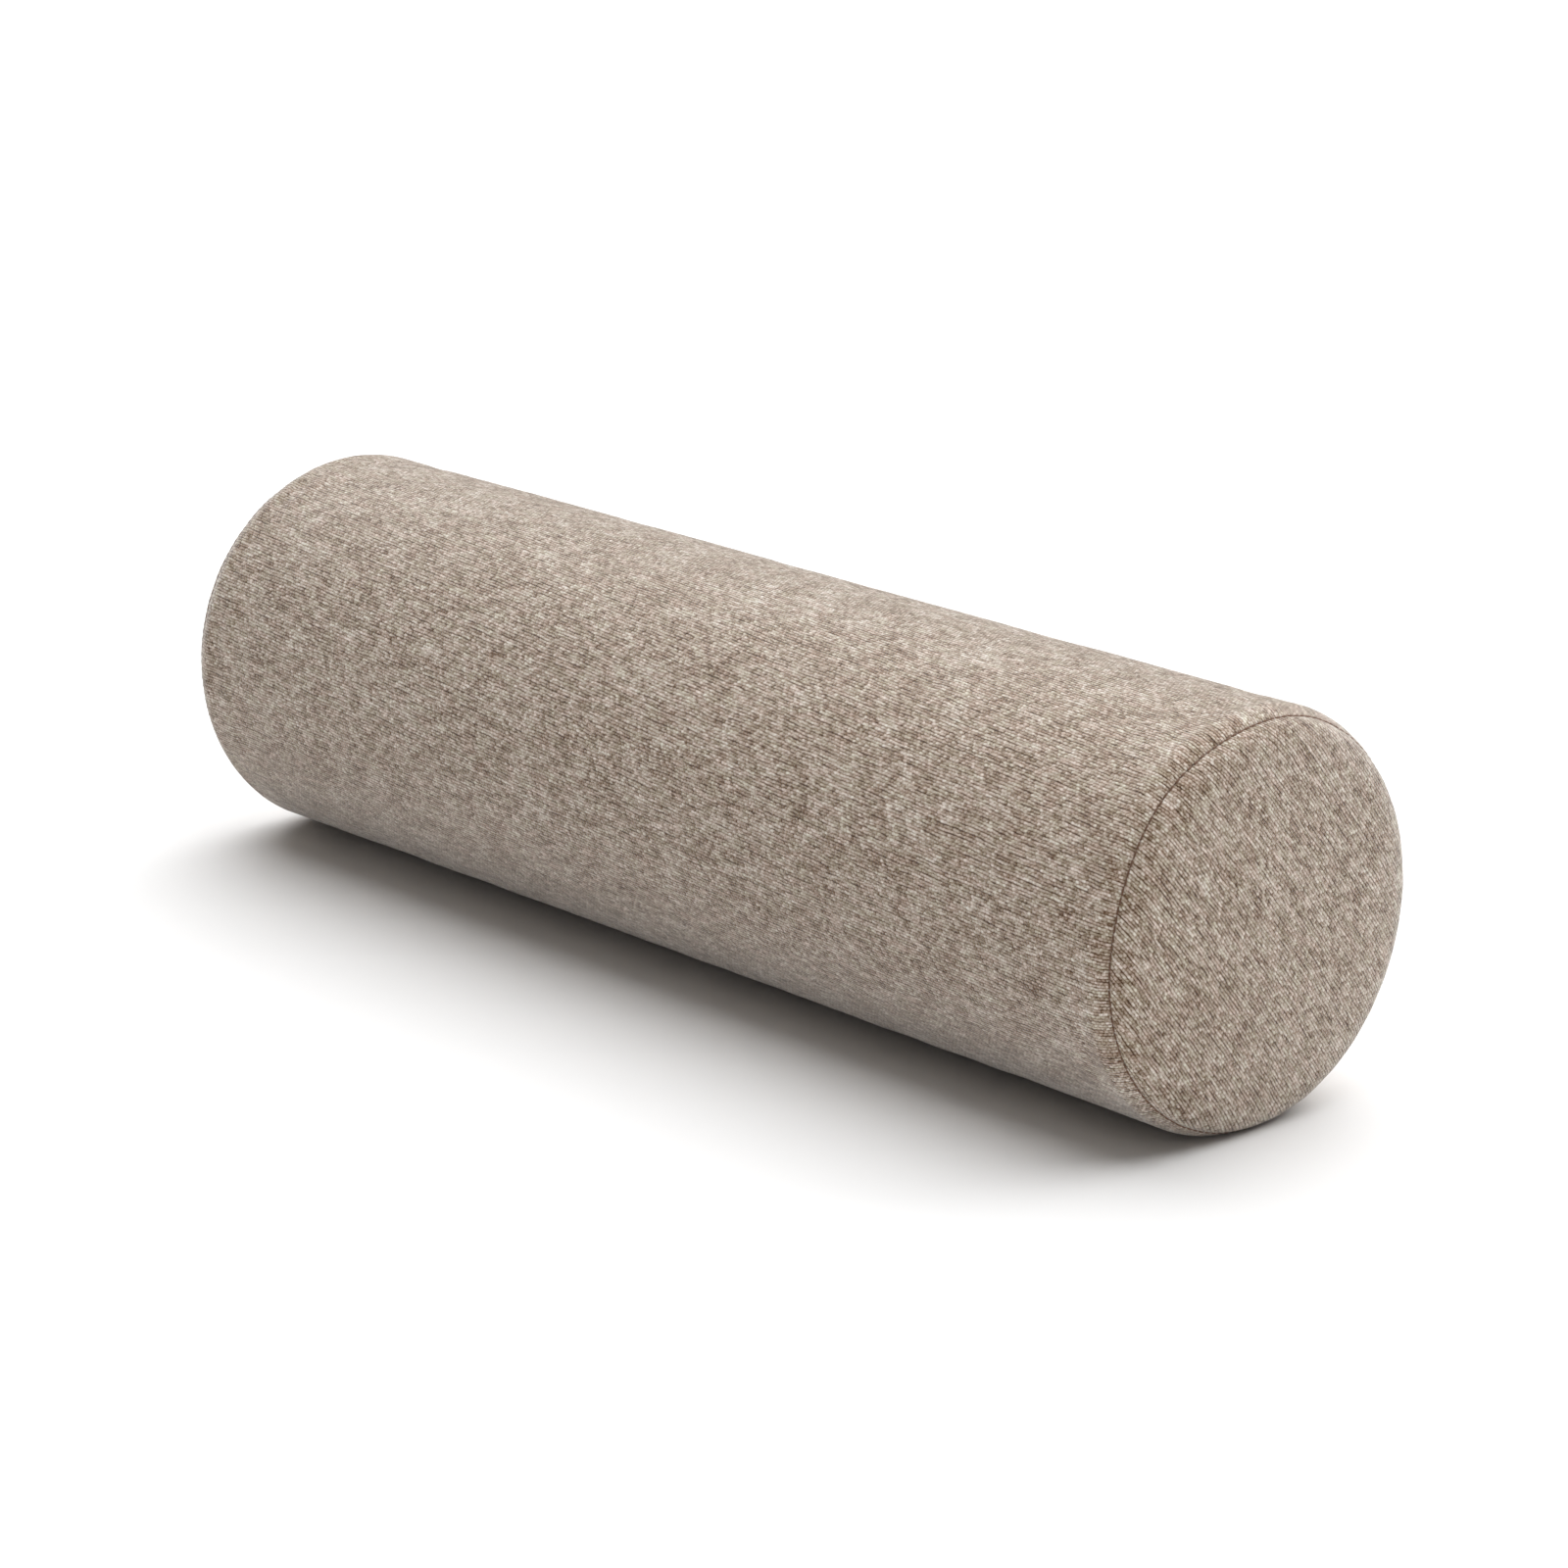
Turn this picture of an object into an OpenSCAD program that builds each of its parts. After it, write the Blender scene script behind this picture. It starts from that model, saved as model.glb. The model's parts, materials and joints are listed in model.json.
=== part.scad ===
// Round bolster pillow: a foam roll in a sewn inner casing, inside a zipped fabric cover.
//
// The bolster lies along X on the plane z = 0, with +Z up and the origin under its middle.
// It has settled a little on the surface that it lies on, so its underside has a narrow flat.
// Every fabric layer is a shell at some depth under the outer surface of the cover, and the
// zip runs lengthwise along the +Y side. Units are millimetres.

/* [Bolster] */
// Diameter over the outer cover
bolster_d = 150; // [140:5:200]
// Length between the two end seams
seam_length = 500; // [460:10:700]
// Radius of the soft edge between the side and each end
edge_r = 14; // [13:1:16]
// How far the middle of an end stands out past its edge
crown = 2.5; // [2:0.5:4]
// How deep the bolster settles on the surface that it lies on
settle = 2.6; // [2.2:0.2:3]

/* [Fabric and filling] */
// Thickness of the cover fabric
cover_t = 1; // [0.8:0.1:1]
// Thickness of the inner casing's cloth
casing_t = 0.4; // [0.3:0.1:0.5]
// Thickness of the fibre wadding round the foam
wadding_t = 13; // [10:1:20]
// Width of the fabric turned in at a seam or at the zip
turned_in = 10; // [8:1:10]

/* [Zip] */
// Length of the zip opening
zip_length = 420; // [300:10:420]
// Height angle of the zip on the +Y side, 0 being level with the axis
zip_angle = 25; // [20:1:40]
// Width of the opening between the two folded edges
opening_w = 10; // [10:0.5:12]
// Width of the closed zip chain
chain_w = 5; // [4.5:0.25:5]
// Length of the pull tab past its hinge
pull_length = 25; // [18:1:30]

/* [Hidden] */
$fn = 96;

// Overall
radius = bolster_d / 2;
axis_z = radius - settle;
seam_x = seam_length / 2;
far = 2 * seam_length;
seam_turn = 35;                 // how far round the soft edge the end seam lies, in degrees
edge_x = seam_x - edge_r * sin(seam_turn);
edge_axis_r = radius - edge_r;  // distance of the soft edge's centre from the axis
dome_r = (pow(edge_axis_r, 2) + pow(edge_r + crown, 2) - pow(edge_r, 2)) / (2 * crown);
dome_x = edge_x + edge_r + crown - dome_r;
dome_turn = atan2(edge_axis_r, edge_x - dome_x);
seam_gap = 0.6;                 // groove between two panels that are sewn together
seam_r = edge_axis_r + edge_r * cos(seam_turn);

// Depth of each layer's outer face under the outer surface
casing_depth = cover_t + 0.3;
casing_end_depth = 3 * cover_t + 0.4;
wadding_depth = casing_depth + casing_t + 0.2;
wadding_end_depth = casing_end_depth + casing_t + 0.2;
shoulder_x = seam_x - 2 * turned_in - 4;  // where the casing steps in under the turned seams
core_r = radius - wadding_depth - wadding_t;
core_half = edge_x - 2;
layer_gap = 0.2;

// Zip, measured from the bolster's axis outwards along the zip's own Z
tape_t = 0.6;
tape_half_w = 13.5;
tape_top = radius - 2 * cover_t - 0.1;
tape_split = 0.15;              // half the gap between the two tapes under the chain
tape_end_split = 1.4;           // the same past the ends of the chain
coil_h = 2;
coil_base = tape_top + 0.05;
stop_length = 3;
slider_length = 13;
slider_half_w = 4.4;
slider_rest_x = -zip_length / 2 + 10;
slider_roof = coil_base + coil_h + 0.2;
slider_roof_t = 1.1;
slider_floor = tape_top - tape_t - 0.3;
slider_floor_t = 1;
chain_start_x = slider_rest_x - 3.6;
chain_end_x = zip_length / 2 - 5;
hinge_w = slider_roof + slider_roof_t + 1;
pin_r = 0.6;
pin_clearance = 0.06;
pull_dip = 3;                   // how far the tab dips from its hinge to the cover, in degrees
thread_r = 0.25;
topstitch_v = opening_w / 2 + 5;
channel_depth = radius - slider_floor + slider_floor_t + 0.5;
channel_length = zip_length + 14;
channel_w = 60;

// ---- Shapes that repeat ----

// Outline of one end at a depth, from the side of the roll to the middle of the end
function end_curve(depth) = concat(
    [for (k = [0:8]) let (t = 90 + (dome_turn - 90) * k / 8)
        [edge_axis_r + (edge_r - depth) * sin(t), edge_x + (edge_r - depth) * cos(t)]],
    [for (k = [1:4]) let (t = dome_turn * (1 - k / 4))
        [(dome_r - depth) * sin(t), dome_x + (dome_r - depth) * cos(t)]]
);

function half_outline(side_depth, end_depth) = concat(
    [[radius - side_depth, shoulder_x], [radius - end_depth, shoulder_x + 4]],
    end_curve(end_depth)
);

function turned_over(points) =
    [for (k = [len(points) - 1:-1:0]) [points[k][0], -points[k][1]]];

// Everything under the settled underside, which is as far in at each depth as the side is
module under_flat(side_depth, end_depth) {
    step = [[shoulder_x, side_depth], [shoulder_x + 4, end_depth], [far, end_depth]];
    translate([0, far / 2, 0]) rotate([90, 0, 0]) linear_extrude(far)
        polygon(concat([[far, -far], [-far, -far]],
            [for (k = [2:-1:0]) [-step[k][0], step[k][1]]], step));
}

// The whole bolster as one filled shape, at a depth under its outer surface
module filled(side_depth, end_depth) {
    half = half_outline(side_depth, end_depth);
    difference() {
        translate([0, 0, axis_z]) rotate([0, 90, 0]) rotate_extrude()
            polygon(concat(turned_over(half), half));
        under_flat(side_depth, end_depth);
    }
}

module layer(outer_depth, inner_depth) {
    difference() {
        filled(outer_depth, outer_depth);
        filled(inner_depth, inner_depth);
    }
}

// Everything between two places along X
module between(x0, x1) {
    translate([x0, -far / 2, -far / 2]) cube([x1 - x0, far, far]);
}

// Turns a child made with the zip along X, Z outwards, and its zero on the axis
module at_zip() {
    translate([0, 0, axis_z]) rotate([zip_angle - 90, 0, 0]) children();
}

module zip_box(x0, x1, v0, v1, w0, w1) {
    translate([x0, v0, w0]) cube([x1 - x0, v1 - v0, w1 - w0]);
}

// The insert is pressed flat under the zip. grow makes room for a layer's own thickness.
module zip_channel(grow) {
    at_zip() zip_box(-channel_length / 2 - grow, channel_length / 2 + grow,
        -channel_w / 2, channel_w / 2, radius - channel_depth - grow, radius + 10);
}

module end_side(right) {
    mirror([right ? 0 : 1, 0, 0]) children();
}

// ---- Outer cover ----

module cover_body_panel() {
    hem_half_w = opening_w / 2 + turned_in;
    color("#a59587") difference() {
        union() {
            intersection() {
                layer(0, cover_t);
                between(-seam_x + seam_gap / 2, seam_x - seam_gap / 2);
            }
            for (right = [true, false]) end_side(right) intersection() {
                layer(cover_t / 2, 2 * cover_t);
                between(seam_x - turned_in, seam_x - seam_gap / 2);
            }
            intersection() {
                layer(cover_t / 2, 2 * cover_t);
                at_zip() zip_box(-channel_length / 2, channel_length / 2,
                    -hem_half_w, hem_half_w, radius / 2, radius + 10);
            }
        }
        at_zip() zip_box(-zip_length / 2, zip_length / 2,
            -opening_w / 2, opening_w / 2, radius / 2, radius + 10);
        for (right = [true, false]) end_side(right) at_zip()
            zip_box(zip_length / 2 + 4, seam_x, -seam_gap / 2, seam_gap / 2,
                radius - cover_t / 2 - edge_r / 4, radius + 10);
    }
}

module cover_end_disc(right) {
    color("#a59587") end_side(right) union() {
        intersection() {
            layer(0, cover_t);
            between(seam_x + seam_gap / 2, far);
        }
        intersection() {
            layer(cover_t / 2, 3 * cover_t);
            between(seam_x + seam_gap / 2, seam_x + seam_gap / 2 + cover_t);
        }
        intersection() {
            layer(2 * cover_t + 0.1, 3 * cover_t + 0.1);
            between(seam_x - turned_in, seam_x + seam_gap);
        }
    }
}

module end_seam_thread(right) {
    color("#6f5a49") end_side(right) translate([seam_x, 0, axis_z]) rotate([0, 90, 0])
        rotate_extrude() translate([seam_r - 2 * thread_r, 0]) circle(r = thread_r, $fn = 24);
}

module back_seam_threads() {
    start_x = zip_length / 2 + 5;
    color("#6f5a49") for (right = [true, false]) end_side(right) at_zip()
        translate([start_x, 0, radius - thread_r - 0.1]) rotate([0, 90, 0])
            cylinder(r = thread_r, h = edge_x - start_x - 1, $fn = 24);
}

// ---- Zip ----

// A strip that follows the roll's curve, between two radii
module arc_strip(outer_r, thickness, x0, x1, v0, v1) {
    intersection() {
        translate([x0, 0, 0]) rotate([0, 90, 0]) difference() {
            cylinder(r = outer_r, h = x1 - x0);
            translate([0, 0, -1]) cylinder(r = outer_r - thickness, h = x1 - x0 + 2);
        }
        zip_box(x0 - 1, x1 + 1, v0, v1, radius / 2, radius + 10);
    }
}

module zip_tape(lower) {
    color("#8d7d6d") at_zip() mirror([0, lower ? 0 : 1, 0]) difference() {
        arc_strip(tape_top, tape_t, -channel_length / 2 + 1, channel_length / 2 - 1,
            tape_split, tape_half_w);
        zip_box(-far, chain_start_x, 0, tape_end_split, radius / 2, radius + 10);
        zip_box(chain_end_x, far, 0, tape_end_split, radius / 2, radius + 10);
    }
}

module zip_coil(lower) {
    round_r = coil_h / 2;
    color("#7d6d5e") at_zip() mirror([0, lower ? 0 : 1, 0])
        translate([chain_start_x, 0, coil_base]) rotate([90, 0, 90])
            linear_extrude(chain_end_x - chain_start_x) {
                translate([0.05, 0]) square([chain_w / 2 - round_r - 0.05, coil_h]);
                translate([chain_w / 2 - round_r, round_r]) circle(r = round_r, $fn = 32);
            }
}

// A clip pinched round the edge of a tape
module tape_clip(x0, v0, v1) {
    difference() {
        zip_box(x0, x0 + stop_length, v0, v1, tape_top - tape_t - 0.7, coil_base + coil_h);
        arc_strip(tape_top + 0.05, tape_t + 0.1, x0 - 1, x0 + stop_length + 1,
            tape_end_split - 0.1, v1 + 1);
        arc_strip(tape_top + 0.05, tape_t + 0.1, x0 - 1, x0 + stop_length + 1,
            -v1 - 1, -tape_end_split + 0.1);
    }
}

module zip_top_stops() {
    stop_x = slider_rest_x - slider_length / 2 - stop_length - 0.3;
    color("#b9b3aa") at_zip() for (lower = [true, false]) mirror([0, lower ? 0 : 1, 0])
        tape_clip(stop_x, tape_end_split - 0.5, tape_end_split + 2);
}

module zip_bottom_stop() {
    color("#b9b3aa") at_zip() tape_clip(chain_end_x + 0.2, -chain_w / 2, chain_w / 2);
}

// Plan outlines of the slider, symmetrical about the chain, with the wide mouth at -X
module mirrored_outline(points) {
    polygon(concat(points, [for (k = [len(points) - 1:-1:0]) [points[k][0], -points[k][1]]]));
}

module slider_plan() {
    front = -slider_length / 2;
    mirrored_outline([[front, slider_half_w - 1], [front + 1, slider_half_w],
        [front + 7, slider_half_w], [front + 10, slider_half_w - 0.7],
        [-front, slider_half_w - 0.7]]);
}

module slider_tunnel() {
    front = -slider_length / 2;
    mirrored_outline([[front - 1, slider_half_w - 0.9], [front + 6, slider_half_w - 0.9],
        [front + 10, chain_w / 2 + 0.3], [1 - front, chain_w / 2 + 0.3]]);
}

module zip_slider() {
    front = -slider_length / 2;
    lug_half_w = 1;
    lug_base = slider_roof + slider_roof_t / 2;
    lug_top = hinge_w + 1.5;
    color("#b9b3aa") at_zip() translate([slider_rest_x, 0, 0]) union() {
        translate([0, 0, slider_roof]) linear_extrude(slider_roof_t) slider_plan();
        translate([0, 0, slider_floor - slider_floor_t]) linear_extrude(slider_floor_t)
            slider_plan();
        translate([0, 0, tape_top + 0.2]) linear_extrude(slider_roof - tape_top)
            difference() {
                slider_plan();
                slider_tunnel();
            }
        translate([0, 0, slider_floor - 0.3]) linear_extrude(slider_roof - slider_floor + 0.6)
            polygon([[front + 0.4, 0], [front + 1.4, 0.9], [front + 2.6, 0],
                [front + 1.4, -0.9]]);
        rotate([90, 0, 0]) translate([0, 0, -lug_half_w]) linear_extrude(2 * lug_half_w)
            difference() {
                polygon([[-3.2, lug_base], [3.2, lug_base], [1.4, lug_top], [-1.4, lug_top]]);
                translate([0, hinge_w]) circle(r = pin_r + pin_clearance, $fn = 32);
            }
    }
}

module zip_pull_tab() {
    half_t = pin_r;
    arm_in = 1.4;
    arm_out = 2.6;
    window = 5;
    end_r = 3;
    color("#c4beb4") at_zip() translate([slider_rest_x, 0, hinge_w]) rotate([0, pull_dip, 0])
    union() {
        translate([0, -arm_out, 0]) rotate([-90, 0, 0])
            cylinder(r = pin_r, h = 2 * arm_out, $fn = 32);
        for (side = [1, -1]) mirror([0, side == 1 ? 0 : 1, 0])
            zip_box(0, window + 1, arm_in, arm_out, -half_t, half_t);
        translate([0, 0, -half_t]) linear_extrude(2 * half_t) union() {
            mirrored_outline([[window, arm_out], [pull_length - end_r, end_r]]);
            translate([pull_length - end_r, 0]) circle(r = end_r, $fn = 48);
        }
    }
}

module zip_topstitch(lower) {
    stitch_r = radius + thread_r + 0.05;
    color("#6f5a49") at_zip() mirror([0, lower ? 0 : 1, 0])
        translate([-channel_length / 2 + 2, topstitch_v,
            sqrt(pow(stitch_r, 2) - pow(topstitch_v, 2))])
            rotate([0, 90, 0]) cylinder(r = thread_r, h = channel_length - 4, $fn = 24);
}

module zip_bartacks() {
    tack_x = zip_length / 2 + 1;
    color("#6f5a49") at_zip() for (right = [true, false]) end_side(right)
        zip_box(tack_x, tack_x + 1.6, -opening_w / 2 - 0.5, opening_w / 2 + 0.5,
            radius + 0.05, radius + 0.5);
}

// ---- Inner cushion ----

module casing_wall() {
    difference() {
        difference() {
            filled(casing_depth, casing_end_depth);
            zip_channel(0);
        }
        difference() {
            filled(casing_depth + casing_t, casing_end_depth + casing_t);
            zip_channel(casing_t);
        }
    }
}

module inner_casing_tube() {
    color("#e9e6df") intersection() {
        casing_wall();
        between(-seam_x + 1, seam_x - 1);
    }
}

module inner_casing_end(right) {
    color("#e9e6df") end_side(right) intersection() {
        casing_wall();
        between(seam_x - 1 + layer_gap, far);
    }
}

module wadding_wrap() {
    joint_w = 0.4;
    color("#f4f3ef") difference() {
        intersection() {
            filled(wadding_depth, wadding_end_depth);
            between(-core_half, core_half);
        }
        zip_channel(casing_t + layer_gap);
        translate([-far / 2, 0, axis_z]) rotate([0, 90, 0])
            cylinder(r = core_r + layer_gap, h = far);
        translate([-far / 2, -far, axis_z - joint_w / 2]) cube([far, far, joint_w]);
    }
}

module wadding_end(right) {
    color("#f4f3ef") end_side(right) intersection() {
        filled(wadding_depth, wadding_end_depth);
        between(core_half + layer_gap, far);
    }
}

module foam_core() {
    chamfer = 3;
    color("#efe6c8") translate([-core_half, 0, axis_z]) rotate([0, 90, 0]) union() {
        cylinder(r1 = core_r - chamfer, r2 = core_r, h = chamfer);
        translate([0, 0, chamfer]) cylinder(r = core_r, h = 2 * (core_half - chamfer));
        translate([0, 0, 2 * core_half - chamfer])
            cylinder(r1 = core_r, r2 = core_r - chamfer, h = chamfer);
    }
}

// ---- Nodes ----

cover_body_panel();
cover_end_disc(false);  // cover_end_disc_left
cover_end_disc(true);  // cover_end_disc_right
end_seam_thread(false);  // end_seam_thread_left
end_seam_thread(true);  // end_seam_thread_right
back_seam_threads();
zip_tape(false);  // zip_tape_upper
zip_tape(true);  // zip_tape_lower
zip_coil(false);  // zip_coil_upper
zip_coil(true);  // zip_coil_lower
zip_top_stops();
zip_bottom_stop();
zip_slider();
zip_pull_tab();
zip_topstitch(false);  // zip_topstitch_upper
zip_topstitch(true);  // zip_topstitch_lower
zip_bartacks();
inner_casing_tube();
inner_casing_end(false);  // inner_casing_end_left
inner_casing_end(true);  // inner_casing_end_right
wadding_wrap();
wadding_end(false);  // wadding_end_left
wadding_end(true);  // wadding_end_right
foam_core();
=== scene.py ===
"""The look of a round bolster pillow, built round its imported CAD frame.

The cover, its stitching and zip, the inner casing, the wadding and the foam are modelled here as
real cloth, thread and foam, each in the place of its plain CAD solid. Every length is in metres.
"""

import json
import math

import bpy
import numpy as np
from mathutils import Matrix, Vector


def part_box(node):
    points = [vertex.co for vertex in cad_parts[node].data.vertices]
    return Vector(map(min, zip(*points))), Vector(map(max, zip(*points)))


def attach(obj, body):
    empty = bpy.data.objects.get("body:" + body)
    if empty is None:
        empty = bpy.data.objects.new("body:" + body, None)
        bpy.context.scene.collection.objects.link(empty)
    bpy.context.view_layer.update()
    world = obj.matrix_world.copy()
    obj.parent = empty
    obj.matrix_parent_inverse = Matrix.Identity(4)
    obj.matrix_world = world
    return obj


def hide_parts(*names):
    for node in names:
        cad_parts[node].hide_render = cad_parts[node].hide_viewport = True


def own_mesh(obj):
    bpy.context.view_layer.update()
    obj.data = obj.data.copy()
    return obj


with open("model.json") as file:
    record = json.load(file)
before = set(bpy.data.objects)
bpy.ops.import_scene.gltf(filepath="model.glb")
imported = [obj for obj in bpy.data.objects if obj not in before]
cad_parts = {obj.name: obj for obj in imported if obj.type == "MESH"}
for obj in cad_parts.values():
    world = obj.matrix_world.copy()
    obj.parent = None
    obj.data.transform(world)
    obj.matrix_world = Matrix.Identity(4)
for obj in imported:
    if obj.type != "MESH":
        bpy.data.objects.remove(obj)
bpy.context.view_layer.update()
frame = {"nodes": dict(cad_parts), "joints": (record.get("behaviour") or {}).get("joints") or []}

MM = 0.001

# ---- Sizes, taken from the frame ----

panel_low, panel_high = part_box("cover_body_panel")
thread_low, thread_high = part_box("end_seam_thread_right")
RADIUS = (panel_high.y - panel_low.y) / 2
AXIS_Z = panel_high.z - RADIUS
SEAM_X = (thread_low.x + thread_high.x) / 2
EDGE_R = 14 * MM            # radius of the soft edge round each end
SEAM_TURN = math.radians(35)  # how far round that edge the end seam lies
EDGE_X = SEAM_X - EDGE_R * math.sin(SEAM_TURN)
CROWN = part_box("cover_end_disc_right")[1].x - EDGE_X - EDGE_R
EDGE_AXIS_R = RADIUS - EDGE_R
DOME_R = (EDGE_AXIS_R**2 + (EDGE_R + CROWN) ** 2 - EDGE_R**2) / (2 * CROWN)
DOME_X = EDGE_X + EDGE_R + CROWN - DOME_R
DOME_TURN = math.atan2(EDGE_AXIS_R, EDGE_X - DOME_X)
SEAM_S = EDGE_X + EDGE_R * SEAM_TURN
DOME_S = EDGE_X + EDGE_R * (math.pi / 2 - DOME_TURN)
POLE_S = DOME_S + DOME_R * DOME_TURN
GIRTH = 2 * math.pi * RADIUS

joints = {joint["name"]: joint for joint in frame["joints"]}
HINGE = Vector(joints["zip_pull_swing"]["pos_m"])
ZIP_ANGLE = math.atan2(HINGE.z - AXIS_Z, HINGE.y)
ZIP_OUT = Vector((0, math.cos(ZIP_ANGLE), math.sin(ZIP_ANGLE)))
ZIP_UP = Vector((0, -math.sin(ZIP_ANGLE), math.cos(ZIP_ANGLE)))
TAPE_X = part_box("zip_tape_upper")[1].x
CHAIN_START_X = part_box("zip_coil_upper")[0].x
CHAIN_END_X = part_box("zip_coil_upper")[1].x
TACK_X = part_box("zip_bartacks")[1].x - 0.8 * MM
ZIP_HALF = TACK_X - 1.8 * MM  # half the length of the opening
ZIP_GAP = 5 * MM              # half the opening's width
TAPE_T = 0.5 * MM
TAPE_DEPTH = 2.1 * MM + TAPE_T / 2
TAPE_HALF_W = 13.5 * MM
CHAIN_GAP = 0.4 * MM          # half the gap between the tapes under the chain
TAPE_SPLIT = 1.4 * MM         # the same past the ends of the chain
CHAIN_W = 5 * MM
COIL_H = 2 * MM
COIL_BASE = RADIUS - 2.05 * MM
COIL_PITCH = 1.3 * MM
COIL_OVERLAP = 0.4 * MM       # how far a loop's head reaches past the middle of the chain
WIRE_R = 0.27 * MM
ROW_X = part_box("zip_topstitch_upper")[1].x  # half the length of a row of top stitching
SLIDE = joints["zip_slider_slide"]["range_m"][1]
SPLIT_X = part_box("zip_slider")[0].x + SLIDE + 2.7 * MM  # just past the open slider's nose
OPEN_AT_STOP = 2.5 * MM       # how far each half would move out as the zip opens, at the top stop
OPEN_AT_SLIDER = 1.4 * MM     # and beside the slider's nose
TOPSTITCH = 5 * MM            # from the folded edge of the opening

COVER_T = 0.8 * MM
FOLD_R = COVER_T / 2 + 0.02 * MM  # at a turned edge, to the middle of the cloth
SEAM_GAP = 0.7 * MM           # groove between two panels that are sewn together
SEAM_SINK = 0.45 * MM         # how far a seam draws the cloth in
SINK_REACH = 2.2 * MM
PUCKER = 0.27 * MM            # how far the cloth beside a seam ripples
PUCKER_REACH = 7 * MM
SEAM_WANDER = 1.2 * MM        # how far a seam strays along the bolster
UNEVEN = 0.07 * MM            # the broad waves of the whole cover
FINE = 9 * MM                 # the cover's mesh is finer this near to an end seam
TURNED_IN = 10 * MM
STITCH = 3.2 * MM
THREAD_R = 0.45 * MM          # in the end seams
ROW_THREAD_R = 0.26 * MM      # in the top stitching and the back seam
TACK_THREAD_R = 0.17 * MM
COIL_THREAD_R = 0.11 * MM
BACK_SEAM_X = 241 * MM        # where the back seam's stitches end

CASING_T = 0.4 * MM
CASING_END_DEPTH = 3.6 * MM
CHANNEL_W = 70.4 * MM         # the casing is flat under the zip, this far from the axis
LINED = 0.6                   # the inner layers follow this share of the cover's relief
FOAM_R = (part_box("foam_core")[1].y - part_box("foam_core")[0].y) / 2
CORE_HALF = 239.6 * MM        # half the length of the foam and of the wadding round it
WADDING_INNER_R = 60.45 * MM
PAD_X = 240.4 * MM            # the flat back of each end pad
PAD_DEPTH = 4.1 * MM          # its face, under the cover's surface

ENDS = ((-1, "left"), (1, "right"))
HALVES = ((1, "upper"), (-1, "lower"))

random = np.random.default_rng(7)


def smooth(low, high, x):
    """0 below low and 1 above high, with a soft step between."""
    t = np.clip((x - low) / (high - low), 0, 1)
    return t * t * (3 - 2 * t)


# ---- The bolster's surface ----


def profile(s):
    """Point (x, r) and outward normal of one half's outline, s metres along it from its middle."""
    turn = np.clip((s - EDGE_X) / EDGE_R, 0, math.pi / 2 - DOME_TURN)
    tilt = np.where(s > DOME_S, DOME_TURN - (s - DOME_S) / DOME_R, math.pi / 2 - turn)
    on_edge = (EDGE_X + EDGE_R * np.cos(tilt), EDGE_AXIS_R + EDGE_R * np.sin(tilt))
    on_dome = (DOME_X + DOME_R * np.cos(tilt), DOME_R * np.sin(tilt))
    x = np.where(s < EDGE_X, s, np.where(s > DOME_S, on_dome[0], on_edge[0]))
    r = np.where(s < EDGE_X, RADIUS, np.where(s > DOME_S, on_dome[1], on_edge[1]))
    return x, r, np.cos(tilt), np.sin(tilt)


def waves(count, low, high):
    """Seeded waves round the girth: whole numbers of waves, phases and sizes."""
    return [
        (int(random.integers(low, high)), random.uniform(0, 2 * math.pi), random.uniform(0.4, 1))
        for _ in range(count)
    ]


BROAD = [(random.uniform(8, 30), *wave) for wave in waves(7, 0, 4)]
PUCKERS = {side: waves(9, 14, 46) for side in (-1, 1)}
SEAM_DRIFT = {side: waves(5, 2, 11) for side in (-1, 1)}


def round_waves(made, phi):
    """The mean of some waves round the girth."""
    return sum(size * np.cos(k * phi + phase) for k, phase, size in made) / len(made)


SWELL_GRID = np.zeros((112, 84))  # filled in by simulate_cover()
SWELL_END = POLE_S - 8 * MM
SWELL_FRAMES = 20


def swell(s, phi):
    """How far the simulated cover stands out, read off its grid."""
    rows, cols = SWELL_GRID.shape
    at_row = np.clip((s + SWELL_END) / (2 * SWELL_END), 0, 1) * (rows - 1.001)
    at_col = (phi / (2 * math.pi) % 1) * cols
    i, j = np.floor(at_row).astype(int), np.floor(at_col).astype(int) % cols
    a, b = at_row - i, at_col - np.floor(at_col)
    a, b = a * a * (3 - 2 * a), b * b * (3 - 2 * b)
    after = (j + 1) % cols
    low = SWELL_GRID[i, j] * (1 - b) + SWELL_GRID[i, after] * b
    high = SWELL_GRID[i + 1, j] * (1 - b) + SWELL_GRID[i + 1, after] * b
    return low * (1 - a) + high * a


def relief(s, phi):
    """How far the cloth stands out from the ideal surface."""
    out = np.zeros(np.broadcast(s, phi).shape)
    for along, round_it, phase, size in BROAD:
        out = out + size * np.cos(along * s + round_it * phi + phase)
    out = out * UNEVEN + swell(s, phi)
    near_seam = np.abs(s) - SEAM_S
    for side, made in PUCKERS.items():
        reach = np.exp(-((near_seam / PUCKER_REACH) ** 2)) * (np.sign(s) == side)
        out = out + PUCKER * round_waves(made, phi) * reach
    return out - SEAM_SINK * np.exp(-((near_seam / SINK_REACH) ** 2))


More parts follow.
